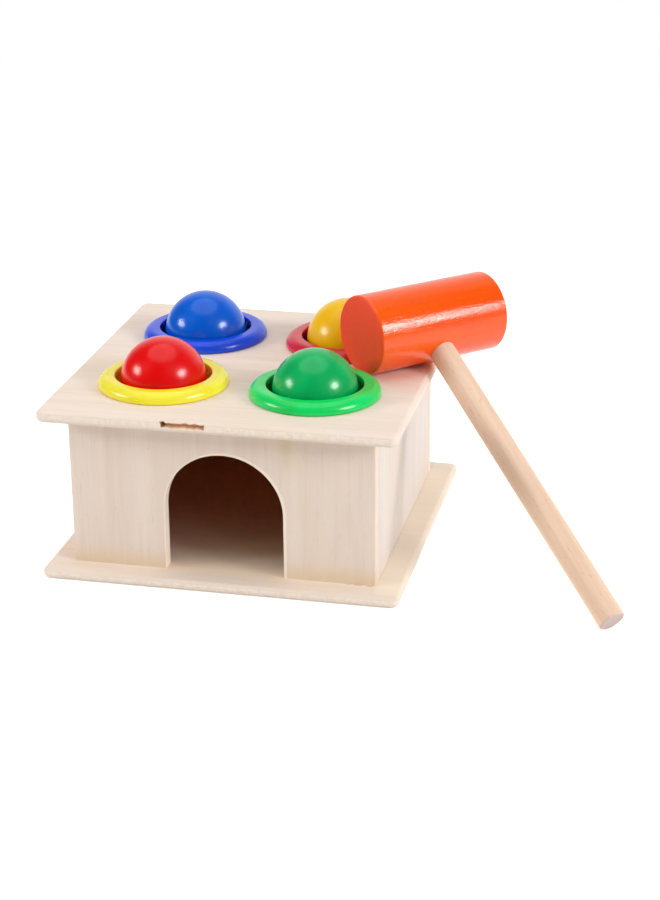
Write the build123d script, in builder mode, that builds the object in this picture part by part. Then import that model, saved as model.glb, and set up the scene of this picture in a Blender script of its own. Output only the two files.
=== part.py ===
# Wooden pounding toy: a plywood box whose top board holds four balls in plastic rings,
# and a loose hammer that lies across one corner of the box. Millimetres, +Z up.
# The origin is the middle of the base board's underside, and the doorway faces -Y.
import os
from math import asin, atan2, cos, hypot, radians, sin, sqrt

from build123d import *

os.makedirs("parts", exist_ok=True)

# Balls, and how far each ball's centre stands above the top board
ball_radius = 15.0
red_rise = 1.8
blue_rise = 1.8
green_rise = 1.0
yellow_rise = 2.2

# Plastic rings pressed into the top board
ball_gap = 1.9  # ball to the bore of its ring, all round
rim_width = 5.9
rim_height = 4.0  # above the board
rim_inner_round = 0.5  # from the flat crest down into the bore
rim_foot_round = 0.7  # the outer shoulder takes the rest of the height
sleeve_wall = 1.4  # the sleeve goes down through the board
sleeve_below = 1.6
bead_radius = 0.5  # snap bead round the sleeve, under the board
ring_fit = 0.1  # sleeve to the hole in the board, and bead to the board's underside

# Springy lip inside each ring, which holds the ball until it is struck through
lip_depth = 1.2  # from the board's top face down to the edge that the ball sits on
lip_root = 1.4
lip_tip = 0.8
seat_gap = 0.05  # ball to the lip's edge

# Boards of the box
ring_spacing = 8.6  # from one rim to the next
ring_margin = 12.6  # from a rim to the edge of the top board
plate_thickness = 4.3
plate_overhang = 8.85  # top board past the walls
wall_height = 54.0
wall_thickness = 5.0
base_thickness = 3.7
base_overhang = 9.35  # base board past the walls
board_round = 1.9  # sanded edges of the top board and the base board
board_corner = 3.0
wall_ease = 0.4  # eased edges of the walls and the doorway
round_limit_share = 0.48  # most of a board's thickness that one sanded edge takes

# Arched doorway in the front wall
door_side_gap = 5.95  # room beside a ball on its way out
door_lintel = 10.55  # wall left above the arch
door_shift = 0.55  # the arch is cut a little to the right of the middle

# Missing piece of core veneer, open at the top board's front edge
core_gap_length = 15.0
core_gap_height = 1.8
core_gap_depth = 3.0
core_gap_drop = 1.6  # from the board's top face to the middle of the gap
core_gap_shift = 10.4  # from the middle of the board to the middle of the gap, to the left

# Hammer
head_radius = 14.2
head_length = 53.4
head_round = 0.9
handle_radius = 4.65
handle_reach = 132.2  # from the head's axis to the free end
handle_past_axis = 7.0  # from the head's axis to the end inside the head
handle_round = 0.8
socket_gap = 0.05  # glue room round the handle in its socket

# Where the hammer lies: its head on the top board, its handle's end on the floor
head_turn = 44.5  # degrees from +X towards +Y
rest_gap = 0.2  # head to the board
ring_lean_gap = 0.1  # head to the rim of the ring that it leans on
path_gap = 0.3  # head to a ball that is lifted out past it
head_end_gap = 1.2  # end of the head to the ring in front of it
handle_edge_gap = 4.0  # handle to the edge of the top board, at least

# Sizes that follow
ring_bore = ball_radius + ball_gap
ring_radius = ring_bore + rim_width
rim_shoulder = rim_height - rim_foot_round
shoulder_middle = ring_radius - rim_shoulder
sleeve_radius = ring_bore + sleeve_wall
hole_radius = sleeve_radius + ring_fit
hole_pitch = 2 * ring_radius + ring_spacing
hole_offset = hole_pitch / 2
plate_side = hole_pitch + 2 * (ring_radius + ring_margin)
walls_outside = plate_side - 2 * plate_overhang
walls_inside = walls_outside - 2 * wall_thickness
base_side = walls_outside + 2 * base_overhang
wall_top = base_thickness + wall_height
plate_top = wall_top + plate_thickness
wall_middle = (walls_outside - wall_thickness) / 2
door_radius = ball_radius + door_side_gap
door_side_height = wall_height - door_lintel - door_radius

# Ring colour, ball colour, side along X, side along Y, rise of the ball
stations = [
    ("yellow", "red", -1, -1, red_rise),
    ("blue", "blue", -1, 1, blue_rise),
    ("green", "green", 1, -1, green_rise),
    ("red", "yellow", 1, 1, yellow_rise),
]

# Base board
base_round = min(board_round, base_thickness * round_limit_share)
with BuildPart() as base_board:
    with BuildSketch(Plane.XY):
        RectangleRounded(base_side, base_side, board_corner)
    extrude(amount=base_thickness)
    levels = base_board.edges().group_by(Axis.Z)
    fillet(levels[0] + levels[-1], radius=base_round)
base_board.part.label = "base_board"
export_step(base_board.part, "parts/base_board.step")

# Front wall, full width, with the arched doorway down to the base board
with BuildPart() as front_wall:
    with BuildSketch(Plane.XZ.offset(walls_outside / 2)):
        with Locations((0, base_thickness + wall_height / 2)):
            Rectangle(walls_outside, wall_height)
        with BuildLine():
            left_foot = (door_shift - door_radius, base_thickness)
            left_spring = (door_shift - door_radius, base_thickness + door_side_height)
            crown = (door_shift, base_thickness + door_side_height + door_radius)
            right_spring = (door_shift + door_radius, base_thickness + door_side_height)
            right_foot = (door_shift + door_radius, base_thickness)
            Line(left_foot, left_spring)
            ThreePointArc(left_spring, crown, right_spring)
            Polyline(right_spring, right_foot, left_foot)
        make_face(mode=Mode.SUBTRACT)
    extrude(amount=-wall_thickness)
    outer_face = front_wall.faces().sort_by(Axis.Y)[0]
    upright = outer_face.edges().filter_by(Axis.Z)
    arch = outer_face.edges().filter_by(GeomType.CIRCLE)
    fillet(upright + arch, radius=wall_ease)
front_wall.part.label = "front_wall"
export_step(front_wall.part, "parts/front_wall.step")

# Back wall, full width and closed
with BuildPart() as back_wall:
    with BuildSketch(Plane((0, wall_middle, base_thickness))):
        Rectangle(walls_outside, wall_thickness)
    extrude(amount=wall_height)
    outer_face = back_wall.faces().sort_by(Axis.Y)[-1]
    fillet(outer_face.edges().filter_by(Axis.Z), radius=wall_ease)
back_wall.part.label = "back_wall"
export_step(back_wall.part, "parts/back_wall.step")

# Side walls, butted between the front wall and the back wall
for side_name, side in (("left", -1), ("right", 1)):
    with BuildPart() as side_wall:
        with BuildSketch(Plane((side * wall_middle, 0, base_thickness))):
            Rectangle(wall_thickness, walls_inside)
        extrude(amount=wall_height)
    side_wall.part.label = f"{side_name}_wall"
    export_step(side_wall.part, f"parts/{side_name}_wall.step")

# Top board, with a hole for each ring and the gap in its core
plate_round = min(board_round, plate_thickness * round_limit_share)
with BuildPart() as top_board:
    with BuildSketch(Plane.XY.offset(wall_top)):
        RectangleRounded(plate_side, plate_side, board_corner)
    extrude(amount=plate_thickness)
    levels = top_board.edges().group_by(Axis.Z)
    fillet(levels[0] + levels[-1], radius=plate_round)
    with BuildSketch(Plane.XY.offset(wall_top)):
        with GridLocations(hole_pitch, hole_pitch, 2, 2):
            Circle(hole_radius)
    extrude(amount=plate_thickness, mode=Mode.SUBTRACT)
    with BuildSketch(Plane.XZ.offset(plate_side / 2)):
        with Locations((-core_gap_shift, plate_top - core_gap_drop)):
            SlotOverall(core_gap_length, core_gap_height)
    extrude(amount=-core_gap_depth, mode=Mode.SUBTRACT)
top_board.part.label = "top_board"
export_step(top_board.part, "parts/top_board.step")

# Rings, their lips and the balls
for ring_colour, ball_colour, x_side, y_side, rise in stations:
    station = Vector(x_side * hole_offset, y_side * hole_offset, plate_top)
    section = Plane(origin=station, x_dir=(1, 0, 0), z_dir=(0, -1, 0))
    upright_axis = Axis(station, (0, 0, 1))

    sleeve_end = -(plate_thickness + sleeve_below)
    with BuildPart() as ring:
        with BuildSketch(section):
            with BuildLine():
                inner_round_end = (ring_bore + rim_inner_round, rim_height)
                shoulder_top = (shoulder_middle, rim_height)
                shoulder_end = (ring_radius, rim_foot_round)
                foot_end = (ring_radius - rim_foot_round, 0)
                bore_top = (ring_bore, rim_height - rim_inner_round)
                RadiusArc(bore_top, inner_round_end, rim_inner_round)
                Line(inner_round_end, shoulder_top)
                RadiusArc(shoulder_top, shoulder_end, rim_shoulder)
                RadiusArc(shoulder_end, foot_end, rim_foot_round)
                Polyline(
                    foot_end,
                    (sleeve_radius, 0),
                    (sleeve_radius, sleeve_end),
                    (ring_bore, sleeve_end),
                    bore_top,
                )
            make_face()
            with Locations((sleeve_radius, -plate_thickness - ring_fit - bead_radius)):
                Circle(bead_radius)
        revolve(axis=upright_axis)
    ring.part.label = f"ring_{ring_colour}"
    export_step(ring.part, f"parts/ring_{ring_colour}.step")

    # The ball rests on the lip's upper inner edge, below its own middle
    lip_edge = sqrt((ball_radius + seat_gap) ** 2 - (rise + lip_depth) ** 2)
    with BuildPart() as lip:
        with BuildSketch(section):
            with BuildLine():
                Polyline(
                    (lip_edge, -lip_depth),
                    (ring_bore, -lip_depth),
                    (ring_bore, -lip_depth - lip_root),
                    (lip_edge, -lip_depth - lip_tip),
                    close=True,
                )
            make_face()
        revolve(axis=upright_axis)
    lip.part.label = f"lip_{ring_colour}"
    export_step(lip.part, f"parts/lip_{ring_colour}.step")

    ball_section = Plane(origin=station + Vector(0, 0, rise), x_dir=(1, 0, 0), z_dir=(0, -1, 0))
    with BuildPart() as ball:
        with BuildSketch(ball_section):
            with BuildLine():
                ThreePointArc((0, -ball_radius), (ball_radius, 0), (0, ball_radius))
                Line((0, ball_radius), (0, -ball_radius))
            make_face()
        revolve(axis=upright_axis)
    ball.part.label = f"ball_{ball_colour}"
    export_step(ball.part, f"parts/ball_{ball_colour}.step")

# The tilt at which the rounded end of the handle just meets the floor
head_middle_height = plate_top + rest_gap + head_radius
end_reach = handle_reach - handle_round
end_radius = handle_radius - handle_round
floor_turn = asin((head_middle_height - handle_round) / hypot(end_reach, end_radius))
handle_tilt = floor_turn - atan2(end_radius, end_reach)

# The head leans on the back right ring, but leaves the ball there its way up
along = Vector(cos(radians(head_turn)), sin(radians(head_turn)), 0)
across = Vector(sin(radians(head_turn)), -cos(radians(head_turn)), 0)
lean_reach = head_radius + rim_shoulder + ring_lean_gap
lean_rise = head_radius + rest_gap - rim_foot_round
lean_out = shoulder_middle + sqrt(lean_reach**2 - lean_rise**2)
path_out = ball_radius + head_radius + path_gap
head_out = max(lean_out, path_out)

# It lies as far in as the front right ring and the handle's way past the board let it
front_ring = Vector(0, -hole_pitch, 0)
ring_slide = front_ring.dot(along) + ring_radius + head_end_gap + head_length / 2
handle_drop = head_middle_height - plate_top - handle_edge_gap - handle_radius / cos(handle_tilt)
edge_inset = across.X * handle_drop * cos(handle_tilt) / sin(handle_tilt)
edge_x = plate_side / 2 - hole_offset - edge_inset
edge_slide = (edge_x - head_out * across.X) / along.X
head_slide = max(ring_slide, edge_slide)
back_ring = Vector(hole_offset, hole_offset, head_middle_height)
head_middle = back_ring + across * head_out + along * head_slide
handle_way = across * cos(handle_tilt) - Vector(0, 0, sin(handle_tilt))

# Hammer head, with a blind socket for the handle
with BuildPart() as hammer_head:
    with BuildSketch(Plane(origin=head_middle - along * (head_length / 2), z_dir=along)):
        Circle(head_radius)
    extrude(amount=head_length)
    fillet(hammer_head.edges().filter_by(GeomType.CIRCLE), radius=head_round)
    socket_floor = head_middle - handle_way * (handle_past_axis + socket_gap)
    with BuildSketch(Plane(origin=socket_floor, z_dir=handle_way)):
        Circle(handle_radius + socket_gap)
    extrude(amount=handle_past_axis + 2 * head_radius, mode=Mode.SUBTRACT)
hammer_head.part.label = "hammer_head"
export_step(hammer_head.part, "parts/hammer_head.step")

# Hammer handle
with BuildPart() as hammer_handle:
    with BuildSketch(Plane(origin=head_middle - handle_way * handle_past_axis, z_dir=handle_way)):
        Circle(handle_radius)
    extrude(amount=handle_past_axis + handle_reach)
    ends = hammer_handle.edges().filter_by(GeomType.CIRCLE)
    fillet(ends, radius=handle_round)
hammer_handle.part.label = "hammer_handle"
export_step(hammer_handle.part, "parts/hammer_handle.step")
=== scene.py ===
from math import cos, pi, radians, sin, sqrt, tan

import bmesh
import bpy
from mathutils import Matrix, Vector


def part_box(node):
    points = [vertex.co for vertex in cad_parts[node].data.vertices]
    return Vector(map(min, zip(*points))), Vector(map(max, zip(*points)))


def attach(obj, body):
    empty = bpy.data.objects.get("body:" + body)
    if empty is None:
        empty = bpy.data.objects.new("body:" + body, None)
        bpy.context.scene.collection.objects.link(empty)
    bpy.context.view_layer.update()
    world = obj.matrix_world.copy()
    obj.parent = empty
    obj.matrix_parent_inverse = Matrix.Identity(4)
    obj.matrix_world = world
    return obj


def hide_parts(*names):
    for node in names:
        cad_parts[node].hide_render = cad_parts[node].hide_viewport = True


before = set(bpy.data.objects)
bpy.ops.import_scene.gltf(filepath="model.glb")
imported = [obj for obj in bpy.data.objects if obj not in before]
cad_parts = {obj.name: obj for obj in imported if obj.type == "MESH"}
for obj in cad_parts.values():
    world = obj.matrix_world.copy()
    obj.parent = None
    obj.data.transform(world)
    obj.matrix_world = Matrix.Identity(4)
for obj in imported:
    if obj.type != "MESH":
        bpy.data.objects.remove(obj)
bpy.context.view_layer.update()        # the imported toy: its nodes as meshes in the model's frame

# Dresses the wooden pounding toy: plywood box, plastic rings, lacquered balls and the hammer.
# Metres, in the frame of the imported model, with the doorway facing -Y.
mm = 0.001
nearby = 0.1 * mm        # points closer than this count as one place
print("frame loaded with", len(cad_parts), "nodes")

# Camera, where the photograph was taken from
shot = {
    "place": (0.1800, -0.6826, 0.3079),
    "azimuth": 12.71,
    "elevation": 21.62,
    "roll": -0.5,
    "focalPixels": 2082.7,
    "longSidePixels": 900,
    "filmWidth": 36.0,
}
aim = (
    Matrix.Rotation(radians(shot["azimuth"]), 3, "Z")
    @ Matrix.Rotation(radians(90 - shot["elevation"]), 3, "X")
    @ Matrix.Rotation(radians(shot["roll"]), 3, "Z")
)
bpy.ops.object.camera_add(location=shot["place"], rotation=aim.to_euler())
camera = bpy.context.object
camera.name = "photoCamera"
camera.data.sensor_width = shot["filmWidth"]
camera.data.lens = shot["focalPixels"] / shot["longSidePixels"] * shot["filmWidth"]
camera.data.clip_start = 0.01
camera.data.clip_end = 30
bpy.context.scene.camera = camera
print("camera placed")


# Hand tools for modelling

def clearSelection():
    if bpy.context.object and bpy.context.object.mode == "EDIT":
        bpy.ops.object.mode_set(mode="OBJECT")
    bpy.ops.object.select_all(action="DESELECT")


def holdOnly(piece):
    clearSelection()
    piece.select_set(True)
    bpy.context.view_layer.objects.active = piece


def startEditing(piece):
    holdOnly(piece)
    bpy.ops.object.mode_set(mode="EDIT")


def stopEditing():
    bpy.ops.object.mode_set(mode="OBJECT")


def freezePlace(piece):
    # puts the place, turn and size into the mesh, so that the object sits at the origin
    holdOnly(piece)
    bpy.ops.object.transform_apply(location=True, rotation=True, scale=True)


def pick(kind, wanted):
    # in edit mode, selects the vertices, edges or faces that wanted() accepts
    bpy.ops.mesh.select_mode(type=kind)
    bpy.ops.mesh.select_all(action="DESELECT")
    mesh = bmesh.from_edit_mesh(bpy.context.edit_object.data)
    parts = {"VERT": mesh.verts, "EDGE": mesh.edges, "FACE": mesh.faces}[kind]
    for part in parts:
        if wanted(part):
            part.select_set(True)
    bmesh.update_edit_mesh(bpy.context.edit_object.data)


def middleOf(edge):
    return (edge.verts[0].co + edge.verts[1].co) / 2


def runsAlong(edge, axis):
    run = (edge.verts[1].co - edge.verts[0].co).normalized()
    return abs(run[axis]) > 0.999


def roundPicked(radius, steps):
    bpy.ops.mesh.bevel(offset=radius, segments=steps, profile=0.5, affect="EDGES")


def cutAway(piece, cutter):
    holdOnly(piece)
    cut = piece.modifiers.new("cut", "BOOLEAN")
    cut.operation = "DIFFERENCE"
    cut.solver = "EXACT"
    cut.object = cutter
    bpy.ops.object.modifier_apply(modifier=cut.name)
    bpy.data.objects.remove(cutter)


def mergeAndFaceOut():
    # in edit mode, closes the seams and turns every face outwards
    bpy.ops.mesh.select_all(action="SELECT")
    bpy.ops.mesh.remove_doubles(threshold=nearby / 10)
    bpy.ops.mesh.normals_make_consistent(inside=False)


def smoothOver(piece, angle=35):
    # smooth shading that leaves the flat faces flat
    holdOnly(piece)
    bpy.ops.object.shade_smooth_by_angle(angle=radians(angle))
    weigh = piece.modifiers.new("weigh", "WEIGHTED_NORMAL")
    weigh.keep_sharp = True
    bpy.ops.object.modifier_apply(modifier=weigh.name)


def copyBy(piece, step):
    # a copy with a mesh of its own, moved by step
    holdOnly(piece)
    bpy.ops.object.duplicate(linked=False)
    bpy.ops.transform.translate(value=step)
    copied = bpy.context.object
    freezePlace(copied)
    return copied


def seat(piece, name, body, node):
    piece.name = name
    piece.data.name = name
    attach(piece, body)
    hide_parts(node)


# Hand tools for finishes

def paint(red, green, blue):
    # a colour as it is read from a screen, turned into the linear one that a shader takes
    def linear(level):
        share = level / 255
        return share / 12.92 if share <= 0.04045 else ((share + 0.055) / 1.055) ** 2.4
    return (linear(red), linear(green), linear(blue), 1.0)


def newFinish(name):
    material = bpy.data.materials.new(name)
    material.use_nodes = True
    tree = material.node_tree
    return material, tree, tree.nodes["Principled BSDF"]


def addNode(tree, kind, sockets=None, **choices):
    made = tree.nodes.new("ShaderNode" + kind)
    for choice, value in choices.items():
        setattr(made, choice, value)
    plug(tree, made, sockets or {})
    return made.outputs


def plug(tree, made, sockets):
    for socket, value in sockets.items():
        if isinstance(value, bpy.types.NodeSocket):
            tree.links.new(value, made.inputs[socket])
        else:
            made.inputs[socket].default_value = value


def mixColours(tree, share, first, second, blend="MIX"):
    sockets = {0: share, 6: first, 7: second}
    return addNode(tree, "Mix", sockets, data_type="RGBA", blend_type=blend)[2]


def noise(tree, place, stretch, detail=3.0, roughness=0.55, twist=0.0):
    # stretch is in cycles per metre along each axis
    scaled = addNode(tree, "Mapping", {"Vector": place, "Scale": stretch})["Vector"]
    sockets = {"Vector": scaled, "Scale": 1.0, "Detail": detail, "Roughness": roughness, "Distortion": twist}
    return addNode(tree, "TexNoise", sockets)[0]


def remap(tree, value, fromLow, fromHigh, toLow=0.0, toHigh=1.0, smooth=True):
    sockets = {"Value": value, "From Min": fromLow, "From Max": fromHigh, "To Min": toLow, "To Max": toHigh}
    return addNode(tree, "MapRange", sockets, interpolation_type="SMOOTHSTEP" if smooth else "LINEAR")[0]


def sums(tree, operation, first, second=0.0):
    return addNode(tree, "Math", {0: first, 1: second}, operation=operation)[0]


def bumpFrom(tree, shader, height, depth):
    normal = addNode(tree, "Bump", {"Height": height, "Distance": depth, "Strength": 1.0})["Normal"]
    tree.links.new(normal, shader.inputs["Normal"])


# Plywood

# each pattern's stretch is in cycles per metre along, across and through the grain, and its
# showing gives the levels between which it appears and its full share
plywood = {
    "pale": (247, 231, 218),
    "mid": (243, 225, 211),
    "dark": (230, 209, 189),
    "fleck": (208, 178, 150),
    "warm": (241, 221, 194),
    "corePale": (251, 236, 221),
    "coreDark": (243, 225, 207),
    "glue": (200, 170, 142),
    # inner: darker, warmer tone for the faces inside the box, partly raw inner veneer and partly painted
    # shade
    "inner": (240, 148, 68),
    "faceShare": 0.24,
    "faceBlend": 0.01,
    "faceWander": 0.05,
    "glueShare": 0.02,
    "glueStrength": 0.4,
    "fibre": (28, 700, 700),
    "fibreShowing": (0.45, 0.75, 0.38),
    "fine": (60, 1900, 1900),
    "fineShowing": (0.5, 0.8, 0.2),
    "band": (5, 95, 95),
    "bandShowing": (0.32, 0.68, 1.0),
    "contour": (4, 42, 42),
    "contourCount": 9.0,
    "contourShowing": (0.2, 1.0, 0.16),
    "flecks": (260, 2400, 2400),
    "flecksShowing": (0.68, 0.78, 0.3),
    "blotch": (14, 24, 24),
    "blotchShowing": (0.45, 0.65, 0.35),
    "coreShowing": (0.35, 0.65, 1.0),
    "roughness": (0.56, 0.7),
    "relief": 0.05 * mm,
    "fleckRelief": 0.6,
    "gloss": 0.25,
}


def showing(tree, pattern, levels):
    low, high, share = levels
    return remap(tree, pattern, low, high, 0.0, share)


def patchShare(tree, axes, tonePatch):
    # full inside the patch's box and none outside it; the box and its soft border are in millimetres
    share = tonePatch["share"]
    soft = tonePatch["soft"] * mm
    for axis in range(3):
        low, high = (edge[axis] * mm for edge in tonePatch["box"])
        share = sums(tree, "MULTIPLY", remap(tree, axes[axis], low - soft, low + soft), share)
        share = sums(tree, "MULTIPLY", remap(tree, axes[axis], high + soft, high - soft), share)
    return share


def plywoodFinish(name, along, through, node, shift, innerSide=0, tonePatches=(), tone=None):
    # along is the axis of the face veneers' grain, through the axis of the board's thickness,
    # and innerSide tells which face of the board lies inside the box
    material, tree, shader = newFinish(name)
    across = 3 - along - through
    coordinates = addNode(tree, "TexCoord")["Object"]
    axes = addNode(tree, "SeparateXYZ", {"Vector": coordinates})
    ordered = {"X": axes[along], "Y": axes[across], "Z": axes[through]}
    grain = addNode(tree, "CombineXYZ", ordered)["Vector"]
    grain = addNode(tree, "Mapping", {"Vector": grain, "Location": shift})["Vector"]
    crossed = {"X": axes[across], "Y": axes[along], "Z": axes[through]}
    crossGrain = addNode(tree, "CombineXYZ", crossed)["Vector"]

    fibre = noise(tree, grain, plywood["fibre"], detail=4.0, roughness=0.6)
    fine = noise(tree, grain, plywood["fine"], detail=2.0)
    band = noise(tree, grain, plywood["band"], detail=2.0, twist=0.4)
    contour = noise(tree, grain, plywood["contour"], detail=1.0, twist=0.2)
    rings = sums(tree, "SINE", sums(tree, "MULTIPLY", contour, plywood["contourCount"] * 2 * pi))
    fleckNoise = noise(tree, grain, plywood["flecks"], detail=1.0)
    blotch = noise(tree, grain, plywood["blotch"], detail=2.0)

    bandShare = showing(tree, band, plywood["bandShowing"])
    face = mixColours(tree, bandShare, paint(*plywood["pale"]), paint(*plywood["mid"]))
    for pattern, levels, colour in (
        (rings, "contourShowing", "dark"),
        (fibre, "fibreShowing", "dark"),
        (fine, "fineShowing", "dark"),
        (fleckNoise, "flecksShowing", "fleck"),
        (blotch, "blotchShowing", "warm"),
    ):
        share = showing(tree, pattern, plywood[levels])
        face = mixColours(tree, share, face, paint(*plywood[colour]))

    coreFibre = noise(tree, crossGrain, plywood["fibre"], detail=4.0, roughness=0.65)
    coreTone = showing(tree, coreFibre, plywood["coreShowing"])
    core = mixColours(tree, coreTone, paint(*plywood["corePale"]), paint(*plywood["coreDark"]))

    low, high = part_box(node)
    level = remap(tree, axes[through], low[through], high[through], smooth=False)
    fromFace = sums(tree, "MINIMUM", level, sums(tree, "SUBTRACT", 1.0, level))
    wander = sums(tree, "MULTIPLY", sums(tree, "SUBTRACT", band, 0.5), plywood["faceWander"])
    fromFace = sums(tree, "ADD", fromFace, wander)
    share, blend = plywood["faceShare"], plywood["faceBlend"]
    wood = mixColours(tree, remap(tree, fromFace, share - blend, share + blend), face, core)
    glueGap = sums(tree, "ABSOLUTE", sums(tree, "SUBTRACT", fromFace, share))
    glueShare = remap(tree, glueGap, 0.0, plywood["glueShare"], plywood["glueStrength"], 0.0)
    wood = mixColours(tree, glueShare, wood, paint(*plywood["glue"]))
    # tone multiplies the whole board: the walls use it for painted light and shade of their side
    if tone:
        wood = mixColours(tree, 1.0, paint(*tone), wood, "MULTIPLY")
    # painted shade: the face inside the box takes the darker, warmer inner tone, partly the raw veneer and
    # partly the shade of the closed box
    if innerSide:
        edges = (0.985, 0.995) if innerSide > 0 else (0.015, 0.005)
        paintedInnerShade = mixColours(tree, 1.0, paint(*plywood["inner"]), wood, "MULTIPLY")
        wood = mixColours(tree, remap(tree, level, *edges), wood, paintedInnerShade)
    # patches of tone: real stains and marks, and painted light and shade
    for tonePatch in tonePatches:
        wood = mixColours(tree, patchShare(tree, axes, tonePatch), wood, paint(*tonePatch["colour"]))

    plug(tree, shader, {
        "Base Color": wood,
        "Roughness": remap(tree, fibre, 0.3, 0.7, *plywood["roughness"]),
        "Specular IOR Level": plywood["gloss"],
    })
    relief = sums(tree, "ADD", fibre, sums(tree, "MULTIPLY", fleckNoise, plywood["fleckRelief"]))
    bumpFrom(tree, shader, relief, plywood["relief"])
    return material


board = {
    "cornerRadius": 3.0 * mm,
    "cornerSteps": 10,
    "edgeRadius": 1.9 * mm,
    "edgeLimit": 0.48,
    "edgeSteps": 8,
    "wallEase": 0.4 * mm,
    "easeSteps": 3,
    "jointEase": 0.15 * mm,
    "jointSteps": 2,
}


def addBlock(low, high):
    clearSelection()
    bpy.ops.mesh.primitive_cube_add(size=1, location=(low + high) / 2, scale=high - low)
    block = bpy.context.object
    freezePlace(block)
    return block


def addSandedBoard(low, high):
    # a board that lies flat: round corners, then bull-nosed edges
    piece = addBlock(low, high)
    startEditing(piece)
    pick("EDGE", lambda edge: runsAlong(edge, 2))
    roundPicked(board["cornerRadius"], board["cornerSteps"])
    pick("EDGE", lambda edge: not runsAlong(edge, 2) and (
        abs(middleOf(edge).z - low.z) < nearby or abs(middleOf(edge).z - high.z) < nearby))
    roundPicked(min(board["edgeRadius"], board["edgeLimit"] * (high.z - low.z)), board["edgeSteps"])
    stopEditing()
    return piece


def easeOuterCorners(piece, corner):
    # eases the two upright edges at the outside corners of the box
    startEditing(piece)
    pick("EDGE", lambda edge: runsAlong(edge, 2)
         and abs(abs(middleOf(edge).x) - abs(corner.x)) < nearby
         and abs(middleOf(edge).y - corner.y) < nearby)
    roundPicked(board["wallEase"], board["easeSteps"])
    stopEditing()


# Base board
baseLow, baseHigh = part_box("base_board")
baseBoard = addSandedBoard(baseLow, baseHigh)
smoothOver(baseBoard)
baseMarksAndPaintedLight = (
    # painted light: a paler, warmer pool on the floor inside the doorway
    {"box": ((-21, -56, 3), (22, 48, 4)), "soft": 3, "share": 0.85, "colour": (252, 224, 176)},
    # painted shade: darker, warmer floor deeper inside the box
    {"box": ((-48, -36, 3), (48, 48, 4)), "soft": 5, "share": 0.85, "colour": (236, 166, 92)},
    # a darker, yellower strip along the front of the base
    {"box": ((-70, -70, 3), (70, -55, 4)), "soft": 1, "share": 0.6, "colour": (232, 218, 199)},
    # painted light: a paler strip along the right side of the base
    {"box": ((54, -60, 3), (70, 70, 4)), "soft": 1, "share": 0.6, "colour": (250, 242, 218)},
    # short dark dashes along the joint at the foot of the front wall
    {"box": ((43.5, -54.4, 3.4), (44.6, -53.6, 4)), "soft": 0.3, "share": 0.3, "colour": (172, 140, 98)},
    {"box": ((46.2, -54.3, 3.4), (49, -53.6, 4)), "soft": 0.4, "share": 0.5, "colour": (172, 140, 98)},
    {"box": ((50.6, -54.5, 3.4), (52.6, -53.6, 4)), "soft": 0.3, "share": 0.35, "colour": (172, 140, 98)},
)
baseBoard.data.materials.append(plywoodFinish(
    "basePlywood", 0, 2, "base_board", (0.31, 0.12, 0.05), tonePatches=baseMarksAndPaintedLight))
seat(baseBoard, "baseBoard", "box", "base_board")
print("base board made")

# Walls; the front one has the arched doorway
doorway = {
    "radius": 20.95 * mm,
    "shift": 0.55 * mm,
    "lintel": 10.55 * mm,
    "steps": 96,
    "edgeEase": 0.5 * mm,
    # the painted highlight round the doorway's edge: its colour, share and offset
    "edgeHighlightTone": (255, 240, 222),
    "edgeHighlightShare": 0.95,
    "edgeShift": (0.45 * mm, 0.35 * mm),
    "overrun": 4 * mm,
    "fieldCuts": (
        ((1.2, 0, 0), (1, 0, 0)),
        ((-26, 0, 0), (1, 0, 0)),
        ((27, 0, 0), (1, 0, 0)),
        ((0, 0, 27), (0, 0, 1)),
        ((0, 0, 50), (0, 0, 1)),
    ),
}
frontLow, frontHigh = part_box("front_wall")
springHeight = frontHigh.z - doorway["lintel"] - doorway["radius"]
frontWall = addBlock(frontLow, frontHigh)
wallDepth = frontHigh.y - frontLow.y
clearSelection()
bpy.ops.mesh.primitive_cylinder_add(
    vertices=doorway["steps"],
    radius=doorway["radius"],
    depth=wallDepth + 2 * doorway["overrun"],
    location=(doorway["shift"], (frontLow.y + frontHigh.y) / 2, springHeight),
    rotation=(pi / 2, 0, 0),
)
archCutter = bpy.context.object
freezePlace(archCutter)
startEditing(archCutter)
bpy.ops.mesh.select_all(action="SELECT")
bpy.ops.mesh.bisect(
    plane_co=(doorway["shift"], 0, springHeight), plane_no=(0, 0, 1), clear_inner=True, use_fill=True)
pick("FACE", lambda face: face.normal.z < -0.99)
dropToFloor = springHeight - frontLow.z + doorway["overrun"]
bpy.ops.mesh.extrude_region_move(TRANSFORM_OT_translate={"value": (0, 0, -dropToFloor)})
mergeAndFaceOut()
stopEditing()
cutAway(frontWall, archCutter)


def paintArchHighlight(material):
    # painted highlight: a pale line along the doorway's eased edge, partly paler sanded fibres and partly
    # painted highlight that also lifts the shade on the jambs
    tree = material.node_tree
    shader = tree.nodes["Principled BSDF"]
    wood = shader.inputs["Base Color"].links[0].from_socket
    axes = addNode(tree, "SeparateXYZ", {"Vector": addNode(tree, "TexCoord")["Object"]})
    sideways, upwards = doorway["edgeShift"]
    across = sums(tree, "SUBTRACT", axes["X"], doorway["shift"] + sideways)
    above = sums(tree, "MAXIMUM", sums(tree, "SUBTRACT", axes["Z"], springHeight + upwards), 0.0)
    squares = [sums(tree, "MULTIPLY", side, side) for side in (across, above)]
    reach = sums(tree, "SQRT", sums(tree, "ADD", squares[0], squares[1]))
    past = sums(tree, "SUBTRACT", reach, doorway["radius"])
    share = remap(tree, past, 1.5 * doorway["edgeEase"], 1.1 * doorway["edgeEase"], 0.0, doorway["edgeHighlightShare"])
    plug(tree, shader, {"Base Color": mixColours(tree, share, wood, paint(*doorway["edgeHighlightTone"]))})


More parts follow.
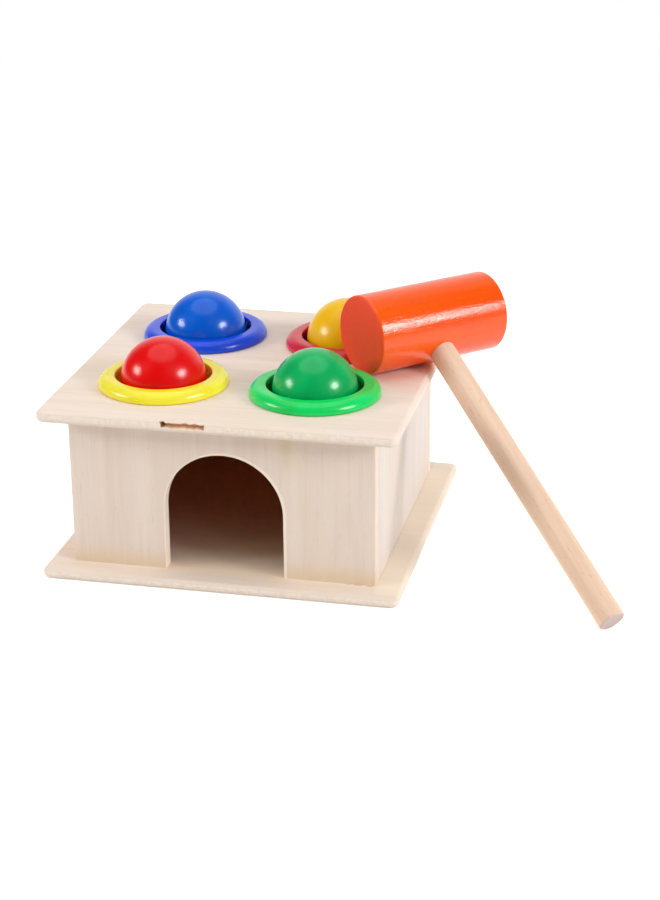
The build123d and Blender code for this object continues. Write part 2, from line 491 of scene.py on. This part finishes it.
def onArch(point):
    # on the outline of the doorway
    across = abs(point.x - doorway["shift"])
    if point.z < springHeight:
        return abs(across - doorway["radius"]) < 2 * nearby
    reach = sqrt(across ** 2 + (point.z - springHeight) ** 2)
    return abs(reach - doorway["radius"]) < 2 * nearby


startEditing(frontWall)
bpy.ops.mesh.select_all(action="SELECT")
bpy.ops.mesh.dissolve_limited(angle_limit=radians(1))
easeOuterCorners(frontWall, frontLow)
startEditing(frontWall)
pick("EDGE", lambda edge: abs(middleOf(edge).y - frontLow.y) < nearby
     and onArch(edge.verts[0].co) and onArch(edge.verts[1].co))
roundPicked(doorway["edgeEase"], board["easeSteps"])
# cuts the face round the arch into simple fields
for place, normal in doorway["fieldCuts"]:
    bpy.ops.mesh.select_all(action="SELECT")
    bpy.ops.mesh.bisect(plane_co=[share * mm for share in place], plane_no=normal)
stopEditing()
smoothOver(frontWall)
frontStainAndPaintedShade = (
    # a yellowish stain near the top right of the front wall
    {"box": ((21, -60, 50), (24.5, -40, 60)), "soft": 1.5, "share": 0.45, "colour": (226, 206, 170)},
    {"box": ((22, -60, 44), (24, -40, 56)), "soft": 2.5, "share": 0.35, "colour": (226, 206, 170)},
    # painted shade: the foot of the front wall is darker and yellower where it meets the base, standing in
    # for shade and warm bounce from the base
    {"box": ((-60, -60, 0), (60, -50, 8)), "soft": 3.5, "share": 0.55, "colour": (232, 208, 168)},
)
# the last colour paints the whole front wall a touch darker: painted shade of the front side
frontPlywood = plywoodFinish(
    "frontPlywood", 2, 1, "front_wall", (0.0, 0.4, 0.2), 1, frontStainAndPaintedShade, (250, 249, 248))
paintArchHighlight(frontPlywood)
frontWall.data.materials.append(frontPlywood)
seat(frontWall, "frontWall", "box", "front_wall")

backLow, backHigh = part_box("back_wall")
backWall = addBlock(backLow, backHigh)
easeOuterCorners(backWall, backHigh)
smoothOver(backWall)
backWall.data.materials.append(plywoodFinish(
    "backPlywood", 2, 1, "back_wall", (0.7, 0.9, 0.3), innerSide=-1))
seat(backWall, "backWall", "box", "back_wall")

leftLow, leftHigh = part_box("left_wall")
rightLow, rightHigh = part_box("right_wall")
leftWall = addBlock(leftLow, leftHigh)
startEditing(leftWall)
pick("EDGE", lambda edge: not runsAlong(edge, 0))
roundPicked(board["jointEase"], board["jointSteps"])
stopEditing()
smoothOver(leftWall)
rightWall = copyBy(leftWall, rightLow - leftLow)
leftWall.data.materials.append(plywoodFinish(
    "leftPlywood", 2, 0, "left_wall", (0.2, 1.3, 0.6), innerSide=1))
seat(leftWall, "leftWall", "box", "left_wall")
# its tone paints the right wall cooler and a little darker: painted light standing in for the cooler, weaker
# light on this side
rightWall.data.materials.append(plywoodFinish(
    "rightPlywood", 2, 0, "right_wall", (1.1, 0.2, 0.8), innerSide=-1, tone=(243, 249, 255)))
seat(rightWall, "rightWall", "box", "right_wall")
print("walls made")

# Rings: flat-topped rim on the board, sleeve down through it, snap bead below
ringShape = {
    "rimWidth": 5.9 * mm,
    "innerRound": 0.5 * mm,
    "footRound": 0.7 * mm,
    "roundSteps": 8,
    "sleeveWall": 1.4 * mm,
    "sleeveChamfer": 0.3 * mm,
    "beadRadius": 0.5 * mm,
    "beadSteps": 6,
    "turnSteps": 160,
    "boardFit": 0.1 * mm,
    "lipTip": 0.8 * mm,
    "lipSoft": 0.2 * mm,
    "seatGap": 0.05 * mm,
}
ringColours = ("yellow", "blue", "green", "red")
ballIn = {"yellow": "red", "blue": "blue", "green": "green", "red": "yellow"}

# Top board, with the holes and the place where a piece of core veneer is missing
plate = {
    "gapLength": 15.0 * mm,
    "gapHeight": 1.8 * mm,
    "gapDepth": 3.0 * mm,
    "gapDrop": 1.6 * mm,
    "gapShift": 10.4 * mm,
    "gapCuts": 14,
    "gapRagged": 0.3 * mm,
    "gapSeed": 4,
    "holeSteps": 96,
}
plateLow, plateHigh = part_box("top_board")
topBoard = addSandedBoard(plateLow, plateHigh)
for colour in ringColours:
    low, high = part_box("ring_" + colour)
    bore = (high.x - low.x) / 2 - ringShape["rimWidth"]
    clearSelection()
    bpy.ops.mesh.primitive_cylinder_add(
        vertices=plate["holeSteps"],
        radius=bore + ringShape["sleeveWall"] + ringShape["boardFit"],
        depth=3 * (plateHigh.z - plateLow.z),
        location=((low.x + high.x) / 2, (low.y + high.y) / 2, (plateLow.z + plateHigh.z) / 2),
    )
    cutAway(topBoard, bpy.context.object)

gapMiddle = Vector((-plate["gapShift"], plateLow.y, plateHigh.z - plate["gapDrop"]))
gapHalf = Vector((plate["gapLength"], 2 * plate["gapDepth"], plate["gapHeight"])) / 2
gapCutter = addBlock(gapMiddle - gapHalf, gapMiddle + gapHalf)
startEditing(gapCutter)
pick("EDGE", lambda edge: runsAlong(edge, 0))
bpy.ops.mesh.subdivide(number_cuts=plate["gapCuts"])
bpy.ops.mesh.select_all(action="SELECT")
bpy.ops.transform.vertex_random(offset=plate["gapRagged"], uniform=1.0, normal=0.0, seed=plate["gapSeed"])
bpy.ops.mesh.quads_convert_to_tris()
stopEditing()
cutAway(topBoard, gapCutter)
smoothOver(topBoard)
topCoreAndPaintedShade = (
    # core wood in the gap, painted pale: partly its own colour, partly painted light that lifts the shade in
    # the gap
    {"box": ((-18, -62, 59.3), (-2.7, -59, 61.5)), "soft": 0.2, "share": 0.95, "colour": (252, 218, 186)},
    # painted shade: the deeper left end of the gap
    {"box": ((-18.2, -62.3, 59.3), (-17, -59, 61.5)), "soft": 0.2, "share": 0.85, "colour": (166, 130, 100)},
    # painted shade: the underside of the board inside the box takes a darker, warmer tone like the inner
    # faces
    {"box": ((-48.6, -48.6, 50), (48.6, 48.6, 57.85)), "soft": 0.1, "share": 1.0, "colour": (230, 132, 56)},
)
topBoard.data.materials.append(plywoodFinish(
    "topPlywood", 0, 2, "top_board", (0.0, 0.0, 0.0), tonePatches=topCoreAndPaintedShade))
seat(topBoard, "topBoard", "box", "top_board")
print("top board made")


def pullLoop(centre, fromPoint, toPoint):
    # extrudes the picked round loop from one (radius, height) to the next
    rise = toPoint[1] - fromPoint[1]
    scale = toPoint[0] / fromPoint[0]
    bpy.ops.mesh.extrude_edges_move(TRANSFORM_OT_translate={"value": (0, 0, rise)})
    if abs(scale - 1) > 0.000001:
        bpy.ops.transform.resize(value=(scale, scale, 1), center_override=centre)


plastic = {
    "cloud": (90, 90, 90),
    "grains": (1400, 1400, 1400),
    "roughness": (0.22, 0.28),
    "gloss": 0.5,
    "relief": 0.012 * mm,
    "boreShade": 0.9,
    "boreBlend": (0.3 * mm, 0.1 * mm),
    "boreDepth": (0.5 * mm, 2.5 * mm),
}


def plasticFinish(name, paints, middle):
    material, tree, shader = newFinish(name)
    coordinates = addNode(tree, "TexCoord")["Object"]
    cloud = noise(tree, coordinates, plastic["cloud"], detail=2.0)
    grains = noise(tree, coordinates, plastic["grains"], detail=2.0)
    body, deep, paintedBoreShade = (paint(*tone) for tone in paints)
    colour = mixColours(tree, remap(tree, cloud, 0.3, 0.7), body, deep)
    # painted shade: deeper colour down in the bore, where the gap round the ball lies in shade
    flat = addNode(tree, "VectorMath", {0: coordinates, 1: (1, 1, 0)}, operation="MULTIPLY")["Vector"]
    away = addNode(tree, "VectorMath", {0: flat, 1: (middle.x, middle.y, 0)}, operation="DISTANCE")["Value"]
    height = addNode(tree, "SeparateXYZ", {"Vector": coordinates})["Z"]
    outOfBore, inBore = (ringShape["bore"] + step for step in plastic["boreBlend"])
    shallow, deeper = (ringShape["crest"] - step for step in plastic["boreDepth"])
    inside = remap(tree, away, outOfBore, inBore)
    below = remap(tree, height, shallow, deeper)
    shade = sums(tree, "MULTIPLY", sums(tree, "MULTIPLY", inside, below), plastic["boreShade"])
    plug(tree, shader, {
        "Base Color": mixColours(tree, shade, colour, paintedBoreShade),
        "Roughness": remap(tree, cloud, 0.3, 0.7, *plastic["roughness"]),
        "Specular IOR Level": plastic["gloss"],
    })
    bumpFrom(tree, shader, grains, plastic["relief"])
    return material


# body, cloud in it, and painted shade down in the bore
ringPaints = {
    "yellow": ((252, 242, 62), (246, 232, 48), (226, 150, 20)),
    "blue": ((16, 76, 232), (12, 66, 216), (6, 24, 110)),
    "green": ((14, 226, 106), (8, 212, 92), (4, 110, 54)),
    "red": ((222, 42, 64), (208, 32, 52), (130, 12, 22)),
}


def arcPoints(centre, radius, fromTurn, toTurn, steps):
    # (radius, height) points along a round part of a section, turns in degrees
    points = []
    for step in range(steps + 1):
        turn = radians(fromTurn + (toTurn - fromTurn) * step / steps)
        points.append((centre[0] + radius * cos(turn), centre[1] + radius * sin(turn)))
    return points


def turnSection(centre, section):
    # a ring round the centre's upright axis, from a closed section of (radius, height) points
    clearSelection()
    start = section[0]
    bpy.ops.mesh.primitive_circle_add(
        vertices=ringShape["turnSteps"], radius=start[0], location=(centre.x, centre.y, start[1]))
    piece = bpy.context.object
    freezePlace(piece)
    startEditing(piece)
    bpy.ops.mesh.select_mode(type="EDGE")
    bpy.ops.mesh.select_all(action="SELECT")
    here = start
    for point in section[1:] + [start]:
        pullLoop(centre, here, point)
        here = point
    mergeAndFaceOut()
    stopEditing()
    smoothOver(piece, 50)
    return piece


def makeRing(colour):
    low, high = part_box("ring_" + colour)
    outer = (high.x - low.x) / 2
    bore = outer - ringShape["rimWidth"]
    sleeve = bore + ringShape["sleeveWall"]
    inner = ringShape["innerRound"]
    foot = ringShape["footRound"]
    shoulder = high.z - plateHigh.z - foot
    bead = ringShape["beadRadius"]
    beadMiddle = plateLow.z - ringShape["boardFit"] - bead
    chamfer = ringShape["sleeveChamfer"]
    steps = ringShape["roundSteps"]
    section = arcPoints((bore + inner, high.z - inner), inner, 180, 90, steps)
    section += arcPoints((outer - shoulder, plateHigh.z + foot), shoulder, 90, 0, 2 * steps)
    section += arcPoints((outer - foot, plateHigh.z + foot), foot, 0, -90, steps)[1:]
    section.append((sleeve, plateHigh.z))
    section += arcPoints((sleeve, beadMiddle), bead, 90, -90, ringShape["beadSteps"])
    section += [
        (sleeve, low.z + chamfer),
        (sleeve - chamfer, low.z),
        (bore + chamfer, low.z),
        (bore, low.z + chamfer),
    ]
    return turnSection((low + high) / 2, section)


def makeLip(colour, ballNode):
    low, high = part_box("lip_" + colour)
    ballLow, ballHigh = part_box(ballNode)
    reach = (ballHigh.x - ballLow.x) / 2 + ringShape["seatGap"]
    lipEdge = sqrt(reach ** 2 - ((ballLow.z + ballHigh.z) / 2 - high.z) ** 2)
    outer = (high.x - low.x) / 2
    tip = high.z - ringShape["lipTip"]
    soft = ringShape["lipSoft"]
    section = [
        (lipEdge, high.z),
        (outer, high.z),
        (outer, low.z),
        (lipEdge + soft, tip),
        (lipEdge, tip + soft),
    ]
    return turnSection((low + high) / 2, section)


firstLow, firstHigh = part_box("ring_" + ringColours[0])
firstRing = makeRing(ringColours[0])
ringShape["bore"] = (firstHigh.x - firstLow.x) / 2 - ringShape["rimWidth"]
ringShape["crest"] = firstHigh.z
for colour in ringColours:
    low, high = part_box("ring_" + colour)
    ringPlastic = plasticFinish(colour + "Plastic", ringPaints[colour], (low + high) / 2)
    ring = firstRing if colour == ringColours[0] else copyBy(firstRing, low - firstLow)
    ring.data.materials.clear()
    ring.data.materials.append(ringPlastic)
    seat(ring, "ring" + colour.title(), "box", "ring_" + colour)
    lip = makeLip(colour, "ball_" + ballIn[colour])
    lip.data.materials.append(ringPlastic)
    seat(lip, "lip" + colour.title(), "box", "lip_" + colour)
print("rings and lips made")

# Balls
ballShape = {"cuts": 31}
lacquer = {
    "cloud": (110, 110, 60),
    "turned": (700, 700, 60),
    "turnedShowing": (0.5, 0.8, 0.25),
    "turnedRelief": 0.4,
    "peel": (500, 500, 500),
    "roughnessSpread": 0.05,
    "gloss": 0.46,
    "relief": 0.02 * mm,
}
# body, cloud in it, and roughness
ballPaints = {
    "red": ((240, 6, 6), (228, 2, 2), 0.19),
    "blue": ((0, 102, 222), (0, 90, 208), 0.17),
    "green": ((0, 186, 100), (0, 170, 88), 0.19),
    "yellow": ((255, 204, 0), (255, 193, 0), 0.24),
}


def lacquerFinish(name, body, deep, middle, roughness):
    material, tree, shader = newFinish(name)
    coordinates = addNode(tree, "TexCoord")["Object"]
    local = addNode(tree, "Mapping", {"Vector": coordinates, "Location": -middle})["Vector"]
    cloud = noise(tree, local, lacquer["cloud"], detail=3.0)
    turned = noise(tree, local, lacquer["turned"], detail=3.0, roughness=0.6)
    peel = noise(tree, local, lacquer["peel"], detail=2.0)
    colour = mixColours(tree, remap(tree, cloud, 0.3, 0.7), paint(*body), paint(*deep))
    turnedShare = showing(tree, turned, lacquer["turnedShowing"])
    colour = mixColours(tree, turnedShare, colour, paint(*deep))
    plug(tree, shader, {
        "Base Color": colour,
        "Roughness": remap(tree, cloud, 0.3, 0.7, roughness, roughness + lacquer["roughnessSpread"]),
        "Specular IOR Level": lacquer["gloss"],
    })
    turnedRelief = sums(tree, "MULTIPLY", turned, lacquer["turnedRelief"])
    bumpFrom(tree, shader, sums(tree, "ADD", peel, turnedRelief), lacquer["relief"])
    return material


def makeBall(node):
    low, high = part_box(node)
    middle = (low + high) / 2
    radius = (high.x - low.x) / 2
    clearSelection()
    bpy.ops.mesh.primitive_cube_add(size=radius, location=middle)
    ball = bpy.context.object
    startEditing(ball)
    bpy.ops.mesh.select_all(action="SELECT")
    bpy.ops.mesh.subdivide(number_cuts=ballShape["cuts"])
    stopEditing()
    turn = ball.modifiers.new("turn", "CAST")
    turn.factor = 1.0
    turn.use_radius_as_size = False
    turn.size = radius
    bpy.ops.object.modifier_apply(modifier=turn.name)
    freezePlace(ball)
    bpy.ops.object.shade_smooth()
    return ball


firstLow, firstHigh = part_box("ball_red")
firstBall = makeBall("ball_red")
for colour in ballPaints:
    node = "ball_" + colour
    low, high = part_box(node)
    body, deep, roughness = ballPaints[colour]
    ball = firstBall if colour == "red" else copyBy(firstBall, low - firstLow)
    ball.data.materials.clear()
    ballLacquer = lacquerFinish(colour + "Lacquer", body, deep, (low + high) / 2, roughness)
    ball.data.materials.append(ballLacquer)
    seat(ball, "ball" + colour.title(), node, node)
print("balls made")

# Hammer
hammer = {
    "endRound": 0.9 * mm,
    "endSteps": 5,
    "headSteps": 160,
    "handleSteps": 64,
    "handleRadius": 4.65 * mm,
    "handleRound": 0.8 * mm,
    "pastAxis": 7.0 * mm,
    "socketGap": 0.05 * mm,
    "handleLength": 139.2 * mm,
    "headLength": 53.4 * mm,
}
headLow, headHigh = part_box("hammer_head")
handleLow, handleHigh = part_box("hammer_handle")
headMiddle = (headLow + headHigh) / 2
handleMiddle = (handleLow + handleHigh) / 2
headRadius = (headHigh.z - headLow.z) / 2
handleWay = (handleMiddle - headMiddle).normalized()
headWay = Vector((-handleWay.y, handleWay.x, 0)).normalized()


def addRod(middle, way, radius, length, steps):
    clearSelection()
    turn = way.to_track_quat("Z", "Y").to_euler()
    bpy.ops.mesh.primitive_cylinder_add(
        vertices=steps, radius=radius, depth=length, location=middle, rotation=turn)
    rod = bpy.context.object
    freezePlace(rod)
    return rod


def roundEnds(rod, middle, way, length, radius, steps):
    startEditing(rod)
    pick("EDGE", lambda edge: abs(abs((middleOf(edge) - middle).dot(way)) - length / 2) < nearby)
    roundPicked(radius, steps)
    stopEditing()


def rodFinish(name, middle, way, settings):
    # grain runs along the rod
    material, tree, shader = newFinish(name)
    coordinates = addNode(tree, "TexCoord")["Object"]
    moved = addNode(tree, "Mapping", {"Vector": coordinates, "Location": -middle})["Vector"]
    turn = way.to_track_quat("X", "Z").inverted().to_euler()
    local = addNode(tree, "Mapping", {"Vector": moved, "Rotation": turn})["Vector"]
    fibre = noise(tree, local, settings["fibre"], detail=4.0, roughness=0.6)
    band = noise(tree, local, settings["band"], detail=2.0, twist=0.3)
    flecks = noise(tree, local, settings["flecks"], detail=1.0)
    grains = noise(tree, local, settings["grains"], detail=2.0)
    dark = paint(*settings["dark"])
    colour = mixColours(tree, remap(tree, band, 0.3, 0.7), paint(*settings["pale"]), dark)
    colour = mixColours(tree, showing(tree, fibre, settings["fibreShowing"]), colour, dark)
    fleckShare = showing(tree, flecks, settings["flecksShowing"])
    colour = mixColours(tree, fleckShare, colour, paint(*settings["fleck"]))
    # the cut ends take the finish differently
    lengthwise = sums(tree, "ABSOLUTE", addNode(tree, "SeparateXYZ", {"Vector": local})["X"])
    endStart, endFull = (settings["length"] / 2 - step for step in settings["endBlend"])
    cut = remap(tree, lengthwise, endStart, endFull, 0.0, settings["endShare"])
    colour = mixColours(tree, cut, colour, paint(*settings["end"]))
    roughness = remap(tree, fibre, 0.3, 0.7, *settings["roughness"])
    roughness = sums(tree, "ADD", roughness, remap(tree, cut, 0.0, 1.0, 0.0, settings["endRoughness"]))
    plug(tree, shader, {
        "Base Color": colour,
        "Roughness": roughness,
        "Specular IOR Level": settings["gloss"],
    })
    relief = sums(tree, "ADD", fibre, sums(tree, "MULTIPLY", grains, settings["grainShare"]))
    bumpFrom(tree, shader, relief, settings["relief"])
    return material


hammerHead = addRod(headMiddle, headWay, headRadius, hammer["headLength"], hammer["headSteps"])
roundEnds(hammerHead, headMiddle, headWay, hammer["headLength"], hammer["endRound"], hammer["endSteps"])
socketDepth = hammer["pastAxis"] + hammer["socketGap"]
socketMiddle = headMiddle + handleWay * (headRadius - socketDepth / 2)
socketLength = 2 * headRadius + socketDepth
socketRadius = hammer["handleRadius"] + hammer["socketGap"]
socketCutter = addRod(socketMiddle, handleWay, socketRadius, socketLength, hammer["handleSteps"])
cutAway(hammerHead, socketCutter)
smoothOver(hammerHead)
headFinish = {
    "length": hammer["headLength"],
    "end": (255, 70, 0),
    "endBlend": (0.5 * mm, 0.1 * mm),
    "endShare": 1.0,
    "endRoughness": 0.45,
    "pale": (255, 96, 14),
    "dark": (249, 84, 10),
    "fleck": (226, 60, 10),
    "fibre": (40, 700, 700),
    "fibreShowing": (0.45, 0.75, 0.5),
    "band": (12, 120, 120),
    "flecks": (300, 2600, 2600),
    "flecksShowing": (0.66, 0.74, 0.3),
    "grains": (900, 1500, 1500),
    "grainShare": 1.1,
    "roughness": (0.09, 0.19),
    "gloss": 0.55,
    "relief": 0.08 * mm,
}
hammerHead.data.materials.append(rodFinish("orangeLacquer", headMiddle, headWay, headFinish))
seat(hammerHead, "hammerHead", "hammer", "hammer_head")

hammerHandle = addRod(
    handleMiddle, handleWay, hammer["handleRadius"], hammer["handleLength"], hammer["handleSteps"])
roundEnds(
    hammerHandle, handleMiddle, handleWay, hammer["handleLength"], hammer["handleRound"], hammer["endSteps"])
smoothOver(hammerHandle)
handleFinish = {
    "length": hammer["handleLength"],
    "end": (212, 192, 188),
    "endBlend": (0.5 * mm, 0.1 * mm),
    "endShare": 0.9,
    "endRoughness": 0.2,
    "pale": (244, 212, 186),
    "dark": (232, 197, 168),
    "fleck": (190, 142, 110),
    "fibre": (50, 1100, 1100),
    "fibreShowing": (0.45, 0.75, 0.5),
    "band": (10, 260, 260),
    "flecks": (380, 2600, 2600),
    "flecksShowing": (0.66, 0.74, 0.5),
    "grains": (300, 2000, 2000),
    "grainShare": 0.3,
    "roughness": (0.51, 0.61),
    "gloss": 0.3,
    "relief": 0.05 * mm,
}
hammerHandle.data.materials.append(rodFinish("beech", handleMiddle, handleWay, handleFinish))
seat(hammerHandle, "hammerHandle", "hammer", "hammer_handle")
print("hammer made")

# Floor and lamps
# each turn gives the parts of the way back, or to the right, between which the light changes over
studio = {
    "floorRadius": 4.0,
    "floorSteps": 64,
    "floorColour": (244, 244, 244),
    "floorGlow": 0.45,
    "fadeStart": 0.35,
    "fadeEnd": 0.9,
    "frontFill": 0.18,
    "rightFill": 0.27,
    "backFill": 0.6,
    "fillTurn": (-0.1, 0.7),
    "rightTurn": (0.2, 0.95),
    "frontShine": 0.04,
    "backShine": 1.0,
    "shineTurn": (0.35, 0.95),
    "rightShine": 12.0,
    "rightShineAngles": (4.0, 9.0),
    "doorFill": 1.3,
    "doorFillAngles": (9.0, 18.0),
    "doorFillTowards": ((0.55, -0.52, 0.65), (-0.55, -0.52, 0.65)),
}
clearSelection()
bpy.ops.mesh.primitive_circle_add(
    vertices=studio["floorSteps"], radius=studio["floorRadius"], fill_type="NGON", location=(0, 0, 0))
floor = bpy.context.object
floor.name = "floor"


def floorFinish():
    # a white floor that fades to plain white far out, and keeps the shadow near the toy
    material, tree, shader = newFinish("floorPaper")
    output = tree.nodes["Material Output"]
    tree.nodes.remove(shader)
    coordinates = addNode(tree, "TexCoord")["Object"]
    distance = addNode(tree, "VectorMath", {0: coordinates}, operation="LENGTH")["Value"]
    fade = remap(tree, distance, studio["fadeStart"], studio["fadeEnd"])
    matte = addNode(tree, "BsdfDiffuse", {"Color": paint(*studio["floorColour"])})["BSDF"]
    glow = addNode(tree, "Emission", {"Color": (1, 1, 1, 1), "Strength": studio["floorGlow"]})["Emission"]
    near = addNode(tree, "AddShader", {0: matte, 1: glow})["Shader"]
    white = addNode(tree, "Emission", {"Color": (1, 1, 1, 1), "Strength": 1.0})["Emission"]
    seen = addNode(tree, "MixShader", {0: fade, 1: near, 2: white})["Shader"]
    rays = addNode(tree, "LightPath")
    direct = sums(tree, "MAXIMUM", rays["Is Camera Ray"], rays["Is Glossy Ray"])
    direct = sums(tree, "MAXIMUM", direct, rays["Is Transmission Ray"])
    both = addNode(tree, "MixShader", {0: direct, 1: matte, 2: seen})["Shader"]
    tree.links.new(both, output.inputs["Surface"])
    return material


floor.data.materials.append(floorFinish())

# share is how brightly the lamp alone lights a white surface that faces it, and halfAngles how
# wide and how high it looks from the toy
lamps = {
    "rightLamp": {
        "towards": (0.87, -0.28, 0.40), "distance": 2.0, "halfAngles": (12.0, 7.5), "share": 0.42,
        "tint": (0.97, 0.985, 1.0),
    },
    "leftLamp": {
        "towards": (-0.865, -0.345, 0.364), "distance": 2.0, "halfAngles": (12.0, 7.0), "share": 0.36,
        "tint": (1.0, 1.0, 1.0),
    },
    "topLamp": {
        "towards": (-0.06, 0.05, 0.993), "distance": 1.4, "halfAngles": (30.0, 30.0), "share": 0.27,
        "tint": (1.0, 1.0, 1.0),
    },
}
lampAim = Vector((0, 0, 0.05))
for name, lamp in lamps.items():
    way = Vector(lamp["towards"]).normalized()
    wide, high = (lamp["distance"] * tan(radians(angle)) for angle in lamp["halfAngles"])
    clearSelection()
    bpy.ops.object.light_add(
        type="AREA",
        location=lampAim + way * lamp["distance"],
        rotation=way.to_track_quat("Z", "Y").to_euler(),
    )
    light = bpy.context.object
    light.name = name
    light.data.shape = "ELLIPSE"
    light.data.size = 2 * wide
    light.data.size_y = 2 * high
    light.data.color = lamp["tint"]
    light.data.energy = lamp["share"] * pi ** 2 * (lamp["distance"] ** 2 + wide * high)
    light.visible_camera = False


def softPatch(tree, direction, towards, angles, strength):
    # a round patch of the world, full up to the first angle and gone at the second
    way = Vector(towards).normalized()
    facing = addNode(tree, "VectorMath", {0: direction, 1: way}, operation="DOT_PRODUCT")["Value"]
    inner, outer = (cos(radians(angle)) for angle in angles)
    return remap(tree, facing, outer, inner, 0.0, strength)


def studioWorld():
    # white behind the toy, soft light from the room, and in the gloss a dark room with a white back
    world = bpy.data.worlds.new("studio")
    bpy.context.scene.world = world
    world.use_nodes = True
    tree = world.node_tree
    tree.nodes.clear()
    direction = addNode(tree, "TexCoord")["Generated"]
    axes = addNode(tree, "SeparateXYZ", {"Vector": direction})
    rays = addNode(tree, "LightPath")
    fillStrength = remap(tree, axes["Y"], *studio["fillTurn"], studio["frontFill"], studio["backFill"])
    fromRight = remap(tree, axes["X"], *studio["rightTurn"], 0.0, studio["rightFill"])
    fillStrength = sums(tree, "ADD", fillStrength, fromRight)
    for towards in studio["doorFillTowards"]:  # these two reach into the doorway
        patch = softPatch(tree, direction, towards, studio["doorFillAngles"], studio["doorFill"])
        fillStrength = sums(tree, "ADD", fillStrength, patch)
    fill = addNode(tree, "Background", {"Color": (1, 1, 1, 1), "Strength": fillStrength})["Background"]
    shineStrength = remap(tree, axes["Y"], *studio["shineTurn"], studio["frontShine"], studio["backShine"])
    # the middle of the right lamp, brighter in the gloss
    rightTowards = lamps["rightLamp"]["towards"]
    spot = softPatch(tree, direction, rightTowards, studio["rightShineAngles"], studio["rightShine"])
    shineStrength = sums(tree, "ADD", shineStrength, spot)
    shine = addNode(tree, "Background", {"Color": (1, 1, 1, 1), "Strength": shineStrength})["Background"]
    lit = addNode(tree, "MixShader", {0: rays["Is Glossy Ray"], 1: fill, 2: shine})["Shader"]
    white = addNode(tree, "Background", {"Color": (1, 1, 1, 1), "Strength": 1.0})["Background"]
    direct = sums(tree, "MAXIMUM", rays["Is Camera Ray"], rays["Is Transmission Ray"])
    both = addNode(tree, "MixShader", {0: direct, 1: lit, 2: white})["Shader"]
    output = tree.nodes.new("ShaderNodeOutputWorld")
    tree.links.new(both, output.inputs["Surface"])


studioWorld()
bpy.context.scene.view_settings.view_transform = "Standard"
print("floor, lamps and backdrop made")

clearSelection()
